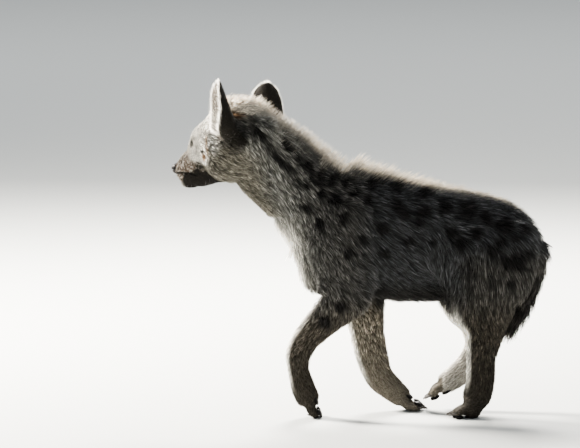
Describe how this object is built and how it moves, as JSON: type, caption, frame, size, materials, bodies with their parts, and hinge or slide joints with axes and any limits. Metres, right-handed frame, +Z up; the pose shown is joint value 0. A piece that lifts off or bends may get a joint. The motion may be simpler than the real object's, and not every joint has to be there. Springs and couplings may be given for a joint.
{
  "type": "spotted hyena cub figure",
  "caption": "Life-size still model of a young spotted hyena, walking, with its head turned to its right.",
  "frame": {"origin": "on the floor, under the middle of the outline seen from above", "axes": "+Z up, -X the way the cub walks, -Y its left side"},
  "size_m": [0.7018, 0.2054, 0.6242],
  "materials": {
    "coat": "dense matte fur, grey buff with dark spots",
    "face": "short matte fur, darker on the muzzle",
    "ear": "thin skin with short dark fur and a pale rim",
    "tail": "long dark hair",
    "nose": "bare, finely pebbled, slightly moist skin",
    "eye": "wet gloss, very dark brown",
    "claw": "dark horn, semi-matt"
  },
  "bodies": {
    "root": {"claw_forepaw_left_1": "claw", "claw_forepaw_left_2": "claw", "claw_forepaw_left_3": "claw", "claw_forepaw_left_4": "claw", "claw_forepaw_right_1": "claw", "claw_forepaw_right_2": "claw", "claw_forepaw_right_3": "claw", "claw_forepaw_right_4": "claw", "claw_hindpaw_left_1": "claw", "claw_hindpaw_left_2": "claw", "claw_hindpaw_left_3": "claw", "claw_hindpaw_left_4": "claw", "claw_hindpaw_right_1": "claw", "claw_hindpaw_right_2": "claw", "claw_hindpaw_right_3": "claw", "claw_hindpaw_right_4": "claw", "ear_left": "ear", "ear_right": "ear", "eye_left": "eye", "eye_right": "eye", "foreleg_left_lower": "coat", "foreleg_left_upper": "coat", "foreleg_right_lower": "coat", "foreleg_right_upper": "coat", "forepaw_left": "coat", "forepaw_right": "coat", "head": "face", "hindleg_left_lower": "coat", "hindleg_left_upper": "coat", "hindleg_right_lower": "coat", "hindleg_right_upper": "coat", "hindpaw_left": "coat", "hindpaw_right": "coat", "neck": "coat", "nose": "nose", "tail": "tail", "torso": "coat"}
  },
  "joints": []
}
